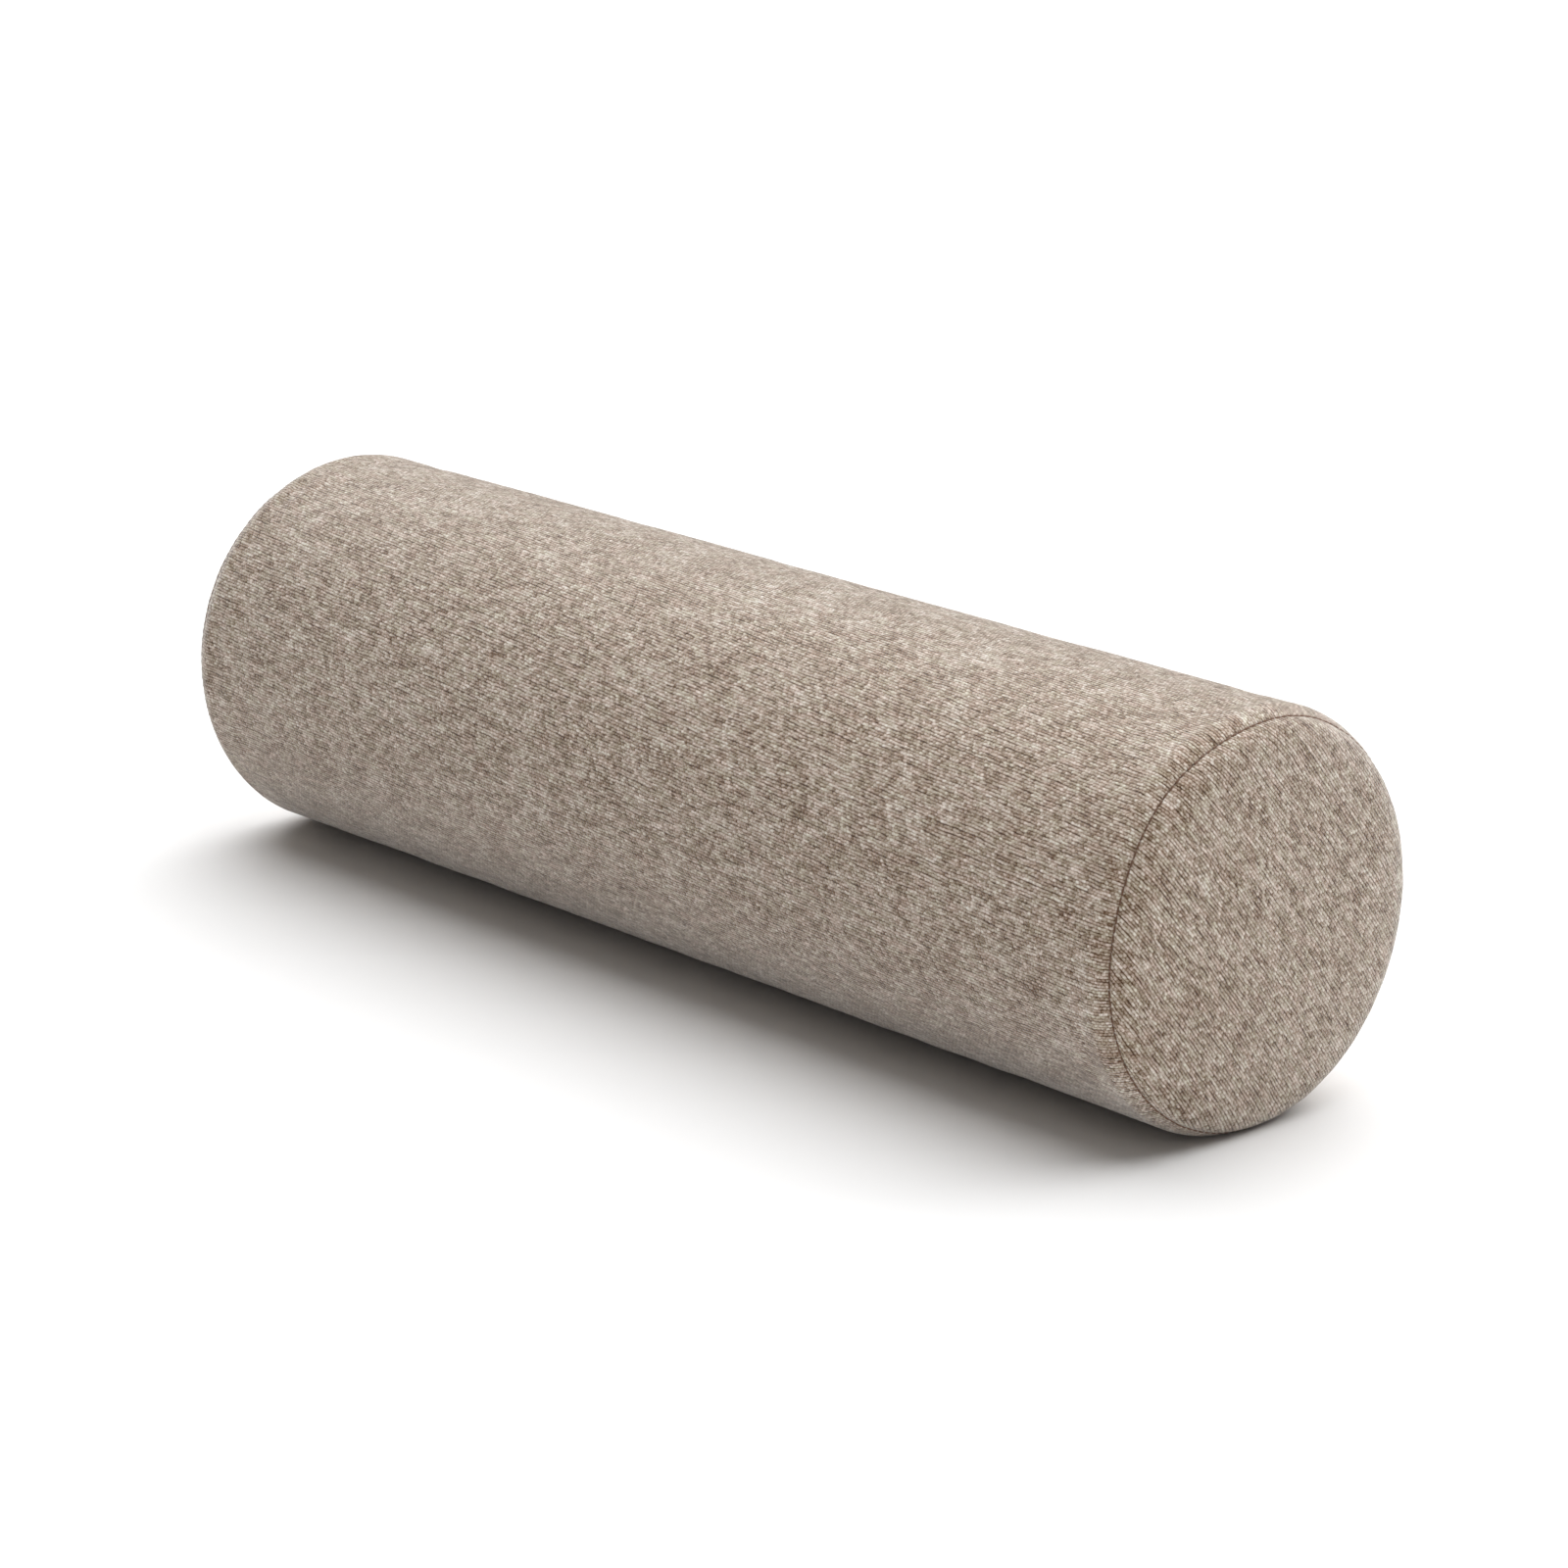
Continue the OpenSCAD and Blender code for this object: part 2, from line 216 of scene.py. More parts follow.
def place(s, phi, depth, rough=1.0):
    """Points at s along the outline and phi round from the zip, at a depth under the surface."""
    s, phi, depth = np.broadcast_arrays(s, phi, depth)
    out = (rough * relief(s, phi) if rough else 0) - depth
    near_seam = np.exp(-(((np.abs(s) - SEAM_S) / (20 * MM)) ** 2))
    for side, made in SEAM_DRIFT.items():
        here = near_seam * (np.sign(s) == side)
        s = s + rough * SEAM_WANDER * round_waves(made, phi) * here
    x, r, nx, nr = profile(np.abs(s))
    x = np.where(s < 0, -1, 1) * (x + out * nx)
    r = r + out * nr
    theta = phi + ZIP_ANGLE
    floor = depth * nr
    above = AXIS_Z + r * np.sin(theta) - floor
    soft = 1.0 * MM
    z = floor + (above + np.sqrt(above**2 + soft**2)) / 2 - 0.05 * MM
    return np.stack([x, r * np.cos(theta), z], -1)


# ---- Meshes ----


def grid_faces(rows, cols, wrap=False):
    """Quads over a grid of points. They look inwards where the rows run along +X."""
    i = np.arange(rows - 1)[:, None]
    j = np.arange(cols if wrap else cols - 1)[None, :]
    k = (j + 1) % cols
    quads = [i * cols + j, (i + 1) * cols + j, (i + 1) * cols + k, i * cols + k]
    return np.stack(np.broadcast_arrays(*quads), -1).reshape(-1, 4)


def flip(faces):
    """The same faces, looking the other way."""
    turned = faces[:, [0, 3, 2, 1]].copy()
    triangle = faces[:, 2] == faces[:, 3]
    turned[triangle] = faces[triangle][:, [0, 2, 1, 1]]
    return turned


def corner_normals(points, faces):
    """Vertex normals. A triangle is a quad whose last two corners are the same."""
    a, b, c, d = (points[faces[:, k]] for k in range(4))
    flat = np.cross(c - a, d - b)
    total = np.zeros_like(points)
    for k in range(4):
        np.add.at(total, faces[:, k], flat)
    return total / np.maximum(np.linalg.norm(total, axis=1, keepdims=True), 1e-15)


def rim_edges(faces):
    """Directed edges that belong to one face only."""
    a = faces.ravel()
    b = np.roll(faces, -1, 1).ravel()
    edges = np.stack([a, b], 1)[a != b]
    keys = np.sort(edges, 1)
    _, where, counts = np.unique(keys, axis=0, return_inverse=True, return_counts=True)
    return edges[counts[where.ravel()] == 1]


def add_object(name, data):
    made = bpy.data.objects.new(name, data)
    bpy.context.scene.collection.objects.link(made)
    return made


def new_piece(name, points, faces, cloth=None):
    """A smooth mesh. Its points' cloth coordinates, in metres, carry the weave."""
    mesh = bpy.data.meshes.new(name)
    rows = [row[:3] if row[2] == row[3] else row for row in faces.tolist()]
    mesh.from_pydata(points.tolist(), [], rows)
    mesh.shade_smooth()
    if cloth is not None:
        layer = mesh.attributes.new("cloth", "FLOAT_VECTOR", "POINT")
        flat = np.zeros((len(points), 3), np.float32)
        flat[:, : cloth.shape[1]] = cloth
        layer.data.foreach_set("vector", flat.ravel())
    return add_object(name, mesh)


def pairs(u, v):
    """Cloth coordinates, a row for each point."""
    return np.stack(np.broadcast_arrays(u, v), -1).reshape(-1, 2)


def cloth_piece(name, points, faces, thickness, cloth):
    """A closed piece of cloth of a real thickness, round its middle surface."""
    normals = corner_normals(points, faces)
    half = np.asarray(thickness).reshape(-1, 1) / 2
    count = len(points)
    rim = rim_edges(faces)
    sides = np.stack([rim[:, 1], rim[:, 0], rim[:, 0] + count, rim[:, 1] + count], 1)
    both = np.concatenate([faces, flip(faces) + count, sides])
    doubled = np.concatenate([points + normals * half, points - normals * half])
    return new_piece(name, doubled, both, np.concatenate([cloth, cloth]))


def path_length(path):
    """The distance along a path to each of its points."""
    steps = np.linalg.norm(np.diff(path, axis=0), axis=1)
    return np.concatenate([[0], np.cumsum(steps)])


def tubes(name, paths, radius, sides=6, guide=(0.3, 0.5, 0.81)):
    """One piece made of many round threads, each along its own path of points."""
    points, faces, cloth = [], [], []
    start = 0
    for path in paths:
        path = np.asarray(path, float)
        ahead = np.gradient(path, axis=0)
        ahead /= np.linalg.norm(ahead, axis=1, keepdims=True)
        across = np.cross(ahead, guide)
        across /= np.linalg.norm(across, axis=1, keepdims=True)
        up = np.cross(ahead, across)
        turn = np.linspace(0, 2 * math.pi, sides, endpoint=False)
        cos, sin = np.cos(turn)[None, :, None], np.sin(turn)[None, :, None]
        ring = across[:, None] * cos + up[:, None] * sin
        size = np.full(len(path), radius)
        size[[0, -1]] = radius * 0.45
        points.append((path[:, None] + ring * size[:, None, None]).reshape(-1, 3))
        cloth.append(pairs(path_length(path)[:, None], turn[None, :] * radius))
        quads = grid_faces(len(path), sides, wrap=True)[:, ::-1] + start
        last = start + (len(path) - 1) * sides
        caps = [[start, start + k + 1, start + k, start + k] for k in range(1, sides - 1)]
        caps += [[last, last + k, last + k + 1, last + k + 1] for k in range(1, sides - 1)]
        faces += [quads, np.array(caps)]
        start += len(path) * sides
    return new_piece(name, np.concatenate(points), np.concatenate(faces), np.concatenate(cloth))


def finish_piece(piece, material, slot, *nodes, body="cushion", fill=None):
    """Gives a piece its material and body, in place of some of the CAD's nodes. The slot is not
    used.
    """
    piece.data.materials.append(material)
    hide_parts(*nodes)
    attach(piece, body)
    return piece


# ---- Materials ----


class Material:
    """Builds one material's nodes. An argument that is a socket is linked, and else it is set."""

    def __init__(self, name):
        self.material = bpy.data.materials.new(name)
        self.material.use_nodes = True
        self.tree = self.material.node_tree
        self.tree.nodes.clear()

    def node(self, kind, settings=None, **inputs):
        made = self.tree.nodes.new("ShaderNode" + kind)
        for key, value in (settings or {}).items():
            setattr(made, key, value)
        for key, value in inputs.items():
            name = int(key[1:]) if key[0] == "_" else key.replace("_", " ")
            self.put(made.inputs[name], value)
        return made

    def put(self, socket, value):
        if isinstance(value, bpy.types.NodeSocket):
            self.tree.links.new(value, socket)
        else:
            socket.default_value = value

    def math(self, operation, a, b=0.0, c=0.0):
        return self.node("Math", {"operation": operation}, _0=a, _1=b, _2=c).outputs[0]

    def mul(self, a, b):
        return self.math("MULTIPLY", a, b)

    def muladd(self, a, b, c):
        return self.math("MULTIPLY_ADD", a, b, c)

    def vector(self, operation, a, b=(0, 0, 0), scale=1.0):
        made = self.node("VectorMath", {"operation": operation}, _0=a, _1=b, _3=scale)
        return made.outputs["Vector"]

    def split(self, vector):
        return self.node("SeparateXYZ", _0=vector).outputs

    def join(self, x, y, z=0.0):
        return self.node("CombineXYZ", _0=x, _1=y, _2=z).outputs[0]

    def noise(self, vector, scale, detail=2.0, rough=0.5, output="Fac"):
        made = self.node("TexNoise", Vector=vector, Scale=scale, Detail=detail, Roughness=rough)
        return made.outputs[output]

    def white(self, vector):
        made = self.node("TexWhiteNoise", {"noise_dimensions": "3D"}, Vector=vector)
        return made.outputs["Value"]

    def step(self, value, low, high):
        """0 below low, 1 above high, and even between."""
        return self.node("MapRange", Value=value, From_Min=low, From_Max=high).outputs[0]

    def drifted(self, flat, scale, detail, reach):
        """Coordinates that wander, as yarns and fibres do."""
        drift = self.noise(flat, scale, detail, output="Color")
        drift = self.vector("SUBTRACT", drift, (0.5, 0.5, 0.5))
        return self.vector("ADD", flat, self.vector("SCALE", drift, scale=reach))

    def own(self):
        """The piece's own coordinates, in metres."""
        return self.node("TexCoord").outputs["Object"]

    def ramp(self, value, stops):
        made = self.node("ValToRGB", Fac=value)
        ramp = made.color_ramp
        while len(ramp.elements) < len(stops):
            ramp.elements.new(0.5)
        for element, (place_at, colour) in zip(ramp.elements, stops):
            element.position = place_at
            element.color = (*colour, 1)
        return made.outputs["Color"]

    def mix(self, kind, share, a, b):
        made = self.node("Mix", {"data_type": "RGBA", "blend_type": kind})
        for name, value in (("Factor", share), ("A", a), ("B", b)):
            self.put(made.inputs[name], value)
        return made.outputs["Result"]

    def cloth(self):
        """The cloth's own coordinates, in millimetres along and across its yarns."""
        flat = self.node("Attribute", {"attribute_name": "cloth"}).outputs["Vector"]
        return self.vector("SCALE", flat, scale=1000.0)

    def bump(self, height, distance):
        made = self.node("Bump", Height=height, Distance=distance, Strength=1.0)
        return made.outputs["Normal"]

    def surface(self, **inputs):
        made = self.node("BsdfPrincipled", **inputs)
        self.node("OutputMaterial", Surface=made.outputs[0])
        return self.material


def srgb(red, green, blue):
    """A colour given as seen on a screen, from 0 to 255."""
    parts = [value / 255 for value in (red, green, blue)]
    return tuple(p / 12.92 if p <= 0.04045 else ((p + 0.055) / 1.055) ** 2.4 for p in parts)


def melange_weave():
    """Plain weave of slubby mixed beige and brown yarns, whose floats show as short pale dashes."""
    row_pitch, float_length = 1.15, 1.55
    mat = Material("melange_weave")
    flat = mat.cloth()
    for scale, reach in ((0.07, 1.2), (0.6, 0.36)):
        flat = mat.drifted(flat, scale, 1.0, reach)
    u, v, _ = mat.split(flat)

    def stretched(along_scale, across_scale, detail, rough=0.5, third=0.0):
        spot = mat.join(mat.mul(u, along_scale), mat.mul(v, across_scale), third)
        return mat.noise(spot, 1.0, detail, rough)

    # Rows and floats: gap and end darken the colour in the hollows between rows and at the ends of
    # floats. This is partly the darker crossing yarn and partly painted shade. streak is the same
    # painted shade and dark yarn along some row gaps, in broken dashes.
    across = mat.mul(v, 1 / row_pitch)
    row = mat.math("FLOOR", across)
    inside = mat.muladd(mat.math("FRACT", across), 2.0, -1.0)
    boundary = mat.math("ROUND", across)
    spot = mat.join(mat.mul(u, 0.17), mat.mul(boundary, 7.31))
    broken = mat.step(mat.noise(spot, 1.0, 1.0), 0.43, 0.62)
    gap = mat.math("POWER", mat.math("ABSOLUTE", inside), 2.5)
    paired = mat.muladd(mat.math("FLOORED_MODULO", boundary, 2.0), 0.75, 0.25)
    streak = mat.mul(mat.mul(gap, broken), paired)

    odd = mat.mul(mat.math("FLOORED_MODULO", row, 2.0), 0.5)
    shift = mat.muladd(mat.white(mat.join(row, 3.7)), 0.25, odd)
    along = mat.muladd(u, 1 / float_length, shift)
    column = mat.math("FLOOR", along)
    in_float = mat.muladd(mat.math("FRACT", along), 2.0, -1.0)
    tuft = mat.white(mat.join(column, row, 1.3))
    end = mat.math("POWER", mat.math("ABSOLUTE", in_float), 3.0)

    strand = stretched(0.16, 0.85, 1.0)
    grain = stretched(0.55, 0.72, 1.0, 0.6)
    fibre = stretched(1.5, 2.3, 1.5, 0.6)
    fleck = mat.step(stretched(0.55, 1.5, 0.0, 0.5, 9.0), 0.62, 0.74)
    bright = mat.step(stretched(0.8, 1.2, 0.0, 0.5, 21.0), 0.74, 0.80)
    cloud = mat.noise(flat, 0.05, 3.0, 0.6)
    patch = stretched(0.09, 0.2, 2.0, 0.5, 5.0)

    tone = mat.muladd(tuft, 0.34, 0.54)
    uneven = ((strand, 0.50), (grain, 0.55), (fibre, 0.7), (cloud, 0.33), (patch, 0.45))
    for part, weight in uneven:
        tone = mat.muladd(mat.math("SUBTRACT", part, 0.5), weight, tone)
    # The gap, end and streak terms here are partly the darker crossing yarn and partly painted
    # shade in the hollows between yarns. fleck is dark yarn.
    dark = ((gap, -0.30), (end, -0.20), (streak, -0.45), (fleck, -0.16))
    for part, weight in (*dark, (bright, 0.3)):
        tone = mat.muladd(part, weight, tone)
    tones = (0.0, 0.28, 0.50, 0.72, 1.0)
    yarns = ((66, 43, 27), (119, 94, 73), (168, 149, 130), (202, 187, 172), (240, 234, 226))
    colour = mat.ramp(tone, [(at, srgb(*yarn)) for at, yarn in zip(tones, yarns)])
    tint = stretched(0.12, 0.3, 1.0, 0.5, 33.0)
    tint = mat.ramp(
        tint, [(0.35, (1.03, 0.985, 0.985)), (0.5, (1, 1, 1)), (0.65, (0.975, 1.0, 0.955))]
    )
    colour = mat.mix("MULTIPLY", 1.0, colour, tint)
    between = mat.math("SUBTRACT", 1.0, gap)
    rise = mat.mul(between, mat.math("SUBTRACT", 1.0, end))
    height = mat.muladd(fibre, 0.6, rise)
    return mat.surface(
        Base_Color=colour,
        Roughness=0.92,
        Sheen_Weight=0.85,
        Sheen_Roughness=0.37,
        Specular_IOR_Level=0.2,
        Normal=mat.bump(height, 0.22 * MM),
    )


def twisted_thread(name, colour):
    """Sewing thread, whose plies wind round it."""
    mat = Material(name)
    u, v, _ = mat.split(mat.cloth())
    ply = mat.math("SINE", mat.muladd(u, 9.0, mat.mul(v, 4.3)))
    share = mat.muladd(ply, 0.5, 0.5)
    dark = tuple(part * 0.55 for part in colour)
    return mat.surface(
        Base_Color=mat.ramp(share, [(0.0, dark), (1.0, colour)]),
        Roughness=0.6,
        Sheen_Weight=0.2,
        Normal=mat.bump(share, 0.08 * MM),
    )


def plain_weave(name, colour, pitch, contrast=0.25, rough=0.85):
    """A fine one-over-one weave."""
    mat = Material(name)
    u, v, _ = mat.split(mat.cloth())
    wave_u = mat.math("SINE", mat.mul(u, 2 * math.pi / pitch))
    wave_v = mat.math("SINE", mat.mul(v, 2 * math.pi / pitch))
    over = mat.muladd(mat.mul(wave_u, wave_v), 0.5, 0.5)
    uneven = mat.noise(mat.cloth(), 0.8, 3.0)
    tone = mat.muladd(uneven, 0.5, mat.mul(over, 0.5))
    dark = tuple(part * (1 - contrast) for part in colour)
    return mat.surface(
        Base_Color=mat.ramp(tone, [(0.2, dark), (0.8, colour)]),
        Roughness=rough,
        Sheen_Weight=0.15,
        Normal=mat.bump(over, 0.25 * pitch * MM),
    )


def nickel():
    """Nickel-plated zinc, a little worn and with fine scratches."""
    mat = Material("nickel")
    spot = mat.own()
    wear = mat.noise(spot, 350.0, 3.0, 0.6)
    scratch = mat.noise(mat.vector("MULTIPLY", spot, (500, 6000, 6000)), 1.0, 2.0)
    rough = mat.muladd(wear, 0.12, mat.muladd(scratch, 0.10, 0.24))
    colour = mat.ramp(wear, [(0.3, srgb(158, 154, 147)), (0.7, srgb(174, 170, 163))])
    return mat.surface(
        Base_Color=colour,
        Metallic=1.0,
        Roughness=rough,
        Normal=mat.bump(scratch, 0.004 * MM),
    )


def nylon(name, colour):
    """Moulded nylon wire, slightly uneven in colour and gloss."""
    mat = Material(name)
    uneven = mat.noise(mat.own(), 400.0, 2.0)
    dark = tuple(part * 0.75 for part in colour)
    return mat.surface(
        Base_Color=mat.ramp(uneven, [(0.3, dark), (0.7, colour)]),
        Roughness=mat.muladd(uneven, 0.2, 0.28),
        Subsurface_Weight=0.15,
        Subsurface_Radius=(0.001, 0.0008, 0.0006),
        Coat_Weight=0.15,
    )


def fibre_wadding():
    """Crimped white polyester fibres."""
    mat = Material("fibre_wadding")
    flat = mat.cloth()
    flat = mat.drifted(flat, 0.15, 3.0, 9.0)
    fine = mat.noise(mat.vector("MULTIPLY", flat, (0.6, 3.0, 1.0)), 1.0, 4.0, 0.65)
    cross = mat.noise(mat.vector("MULTIPLY", flat, (3.0, 0.6, 1.0)), 1.0, 4.0, 0.65)
    tone = mat.math("MAXIMUM", fine, cross)
    return mat.surface(
        Base_Color=mat.ramp(tone, [(0.35, srgb(206, 204, 200)), (0.65, srgb(244, 243, 240))]),
        Roughness=0.95,
        Sheen_Weight=0.6,
        Sheen_Roughness=0.6,
        Subsurface_Weight=0.2,
        Subsurface_Radius=(0.004, 0.004, 0.004),
        Normal=mat.bump(tone, 0.9 * MM),
    )


def cut_foam():
    """Open-cell polyurethane foam, as it is cut."""
    mat = Material("cut_foam")
    spot = mat.cloth()
    soft = {"feature": "SMOOTH_F1"}
    cells = mat.node("TexVoronoi", soft, Vector=spot, Scale=1.6, Smoothness=0.3)
    fine = mat.node("TexVoronoi", {"feature": "F1"}, Vector=spot, Scale=3.4)
    hole = mat.mul(cells.outputs["Distance"], fine.outputs["Distance"])
    patch = mat.noise(spot, 0.03, 3.0)
    tone = mat.muladd(patch, 0.4, mat.mul(hole, 1.6))
    stops = [(0.1, srgb(196, 178, 128)), (0.5, srgb(228, 214, 170)), (0.9, srgb(240, 230, 196))]
    return mat.surface(
        Base_Color=mat.ramp(tone, stops),
        Roughness=0.9,
        Subsurface_Weight=0.25,
        Subsurface_Radius=(0.004, 0.003, 0.002),
        Normal=mat.bump(hole, 0.6 * MM),
    )


# ---- Cloth simulation ----


def simulate_cover():
    """Inflates a slack copy of the cover, held at its seams, zip and flat, for its creases."""
    rows, cols = SWELL_GRID.shape
    s = np.linspace(-SWELL_END, SWELL_END, rows)
    phi = np.arange(cols) * 2 * math.pi / cols
    body = place(s[:, None], phi[None, :], 0.0).reshape(-1, 3)
    poles = place(np.array([-POLE_S, POLE_S]), 0.0, 0.0)
    j = np.arange(cols)
    k = (j + 1) % cols
    left, right = rows * cols + 0 * j, rows * cols + 1 + 0 * j
    last = (rows - 1) * cols
    caps = [np.stack([k, j, left, left], 1), np.stack([last + j, last + k, right, right], 1)]
    points = np.concatenate([body, poles])
    faces = flip(np.concatenate([grid_faces(rows, cols, wrap=True), *caps]))
    copy = new_piece("cover_swell", points, faces)

    from_seam = np.abs(np.abs(s) - SEAM_S)[:, None]
    at_seam = from_seam < 3.5 * MM
    from_zip = RADIUS * np.abs((phi[None, :] + math.pi) % (2 * math.pi) - math.pi)
    at_zip = (from_zip < 11 * MM) & (np.abs(s)[:, None] < ZIP_HALF + 4 * MM)
    on_floor = body[:, 2].reshape(rows, cols) < 0.6 * MM
    held = np.flatnonzero(at_seam | at_zip | on_floor)
    copy.vertex_groups.new(name="held").add(held.tolist(), 1.0, "REPLACE")

    cloth = copy.modifiers.new("cloth", "CLOTH")
    cloth.collision_settings.use_collision = False
    settings = cloth.settings
    settings.quality = 6
    settings.mass = 0.3
    settings.tension_stiffness = settings.compression_stiffness = 15
    settings.shear_stiffness = 5
    settings.bending_stiffness = 0.5
    settings.vertex_group_mass = "held"
    settings.use_pressure = True
    settings.uniform_pressure_force = 4
    settings.shrink_min = -0.015
    settings.effector_weights.gravity = 0
    for number in range(1, SWELL_FRAMES + 1):
        bpy.context.scene.frame_set(number)
    shaped = copy.evaluated_get(bpy.context.evaluated_depsgraph_get()).to_mesh()
    moved = np.empty(len(points) * 3, np.float32)
    shaped.vertices.foreach_get("co", moved)
    moved = moved.reshape(-1, 3)[:-2] - body
    mesh = copy.data
    bpy.data.objects.remove(copy)
    bpy.data.meshes.remove(mesh)
    bpy.context.scene.frame_set(1)

    _, _, nx, nr = profile(np.abs(s)[:, None])
    theta = (phi + ZIP_ANGLE)[None, :]
    sign = np.where(s < 0, -1, 1)[:, None]
    normal = np.stack(np.broadcast_arrays(sign * nx, nr * np.cos(theta), nr * np.sin(theta)), -1)
    out = (moved.reshape(rows, cols, 3) * normal).sum(-1)
    creases = np.tanh((out - blurred(out)) / (1.2 * MM))
    depth = 0.20 * MM + 0.25 * MM * np.exp(-((from_seam / (25 * MM)) ** 2))
    off_pole = smooth(10 * MM, 30 * MM, POLE_S - np.abs(s))[:, None]
    SWELL_GRID[:] = creases * depth * off_pole


def blurred(grid, spread_cells=4.0):
    """The grid with a Gaussian blur of that many cells."""
    reach = int(3 * spread_cells)
    weights = {k: math.exp(-((k / spread_cells) ** 2) / 2) for k in range(-reach, reach + 1)}
    for axis in (0, 1):
        grid = sum(w * np.roll(grid, k, axis) for k, w in weights.items()) / sum(weights.values())
    return grid


simulate_cover()

COVER_CLOTH = melange_weave()
SEAM_THREAD = twisted_thread("brown_thread", srgb(128, 92, 66))
ZIP_THREAD = twisted_thread("zip_thread", srgb(150, 130, 110))
TAPE_CLOTH = plain_weave("zip_tape_weave", srgb(156, 138, 120), 0.55, contrast=0.35, rough=0.7)
COIL_NYLON = nylon("zip_nylon", srgb(134, 115, 98))
NICKEL = nickel()
CASING_CLOTH = plain_weave("calico", srgb(232, 226, 212), 0.9, contrast=0.22)
WADDING = fibre_wadding()
FOAM = cut_foam()


# ---- Cover ----


BODY_GRAIN = math.radians(4)   # the yarns run nearly along the bolster
END_GRAIN = math.radians(-51)  # and at a slant across its ends


def on_grain(flat, grain):
    """Cloth coordinates turned to run along the yarns."""
    cos, sin = math.cos(grain), math.sin(grain)
    return np.stack([flat[:, 0] * cos + flat[:, 1] * sin, flat[:, 1] * cos - flat[:, 0] * sin], 1)


def spread(low, high, step):
    """Even places from low to high, about a step apart."""
    return np.linspace(low, high, max(2, int(round((high - low) / step)) + 1))


def fold_path(length):
    """(distance, depth) from a turned edge: back along the turned part, then round the fold."""
    back = [(d, 2 * FOLD_R) for d in np.linspace(length, FOLD_R, 5)[:-1]]
    turn = np.linspace(math.pi, 0, 7)
    return back + [(FOLD_R * (1 - math.sin(a)), FOLD_R * (1 - math.cos(a))) for a in turn]


def make_body_panel():
    """One piece of cloth, turned in at both ends and along the back, where the zip parts it."""
    edge = SEAM_S - SEAM_GAP / 2
    lip = fold_path(TURNED_IN)
    turned = [(edge - d, depth) for d, depth in lip]
    near_edge = spread(ZIP_HALF + 8 * MM, edge - FINE, 2.2 * MM)[:-1]
    to_edge = spread(edge - FINE, edge - FOLD_R, 0.9 * MM)[:-1]
    slot_end = ZIP_HALF + np.array([-4, -2, -1, -0.4, 0, 0.4, 1, 2, 4, 6]) * MM
    middle = spread(0, ZIP_HALF - 6 * MM, 4.2 * MM)
    half = np.concatenate([middle, slot_end, near_edge, to_edge])
    right = [(s, 0.0) for s in half] + turned[::-1]
    left = [(-s, depth) for s, depth in right[:0:-1]]
    along = np.array(left + right)

    outer = spread(FOLD_R, GIRTH - FOLD_R, 2.05 * MM)[1:-1]
    near = np.array([1, 2, 3.2]) * MM
    outer = np.unique(np.concatenate([near, outer, GIRTH - near]).round(6))
    round_it = lip + [(c, 0.0) for c in outer] + [(GIRTH - c, depth) for c, depth in lip[::-1]]
    round_it = np.array(round_it)

    s, depth_s = along[:, 0][:, None], along[:, 1][:, None]
    arc, depth_v = round_it[:, 0][None, :], round_it[:, 1][None, :]
    closing = smooth(ZIP_HALF - 0.6 * MM, ZIP_HALF + 0.6 * MM, np.abs(s))
    gap = ZIP_GAP + (SEAM_GAP / 2 - ZIP_GAP) * closing
    shift = gap * (1 - smooth(0, 20 * MM, arc)) - gap * (1 - smooth(0, 20 * MM, GIRTH - arc))
    deeper = 1 + smooth(TAPE_X + 6 * MM, TAPE_X + 14 * MM, np.abs(s))
    depth = COVER_T / 2 + depth_s + depth_v * deeper
    points = place(s, (arc + shift) / RADIUS, depth).reshape(-1, 3)
    cloth_u = path_length(along)[:, None]
    cloth_v = path_length(round_it)[None, :] + shift
    cloth = on_grain(pairs(cloth_u, cloth_v), BODY_GRAIN)
    faces = grid_faces(len(along), len(round_it))
    panel = cloth_piece("cover_body_cloth", points, faces, COVER_T, cloth)
    finish_piece(panel, COVER_CLOTH, "cover_fabric", "cover_body_panel", fill=0.95)


def disc_faces(counts):
    """Faces for rings of points that halve their number towards the middle, and a middle point."""
    faces = []
    first = 0
    for k in range(len(counts) - 1):
        here, there = counts[k], counts[k + 1]
        nxt = first + here
        i = np.arange(there)
        if here == there:
            j = (i + 1) % here
            faces.append(np.stack([first + i, first + j, nxt + j, nxt + i], 1))
        else:
            a, b, c = 2 * i, 2 * i + 1, (2 * i + 2) % here
            j = (i + 1) % there
            faces.append(np.stack([first + a, first + b, nxt + i, nxt + i], 1))
            faces.append(np.stack([first + b, nxt + j, nxt + i, nxt + i], 1))
            faces.append(np.stack([first + b, first + c, nxt + j, nxt + j], 1))
        first = nxt
    i = np.arange(counts[-1])
    middle = first + counts[-1]
    j = (i + 1) % counts[-1]
    faces.append(np.stack(np.broadcast_arrays(first + i, first + j, middle, middle), 1))
    return np.concatenate(faces)


def end_cloth(side, path, counts, rough=1.0, grain=END_GRAIN):
    """Points, faces and cloth coordinates of a round end that follows (s, depth) rings inwards."""
    points, cloth = [], []
    for (s, depth), count in zip(path, counts):
        phi = np.arange(count) * 2 * math.pi / count
        points.append(place(side * s, phi, depth, rough))
        reach = POLE_S - s
        flat = np.stack([reach * np.cos(phi + ZIP_ANGLE), reach * np.sin(phi + ZIP_ANGLE)], 1)
        cloth.append(flat)
    points.append(place(side * POLE_S, np.zeros(1), path[-1][1], rough))
    cloth.append(np.zeros((1, 2)))
    faces = disc_faces(counts)
    if side < 0:
        faces = flip(faces)
    return np.concatenate(points), faces, on_grain(np.concatenate(cloth), grain)


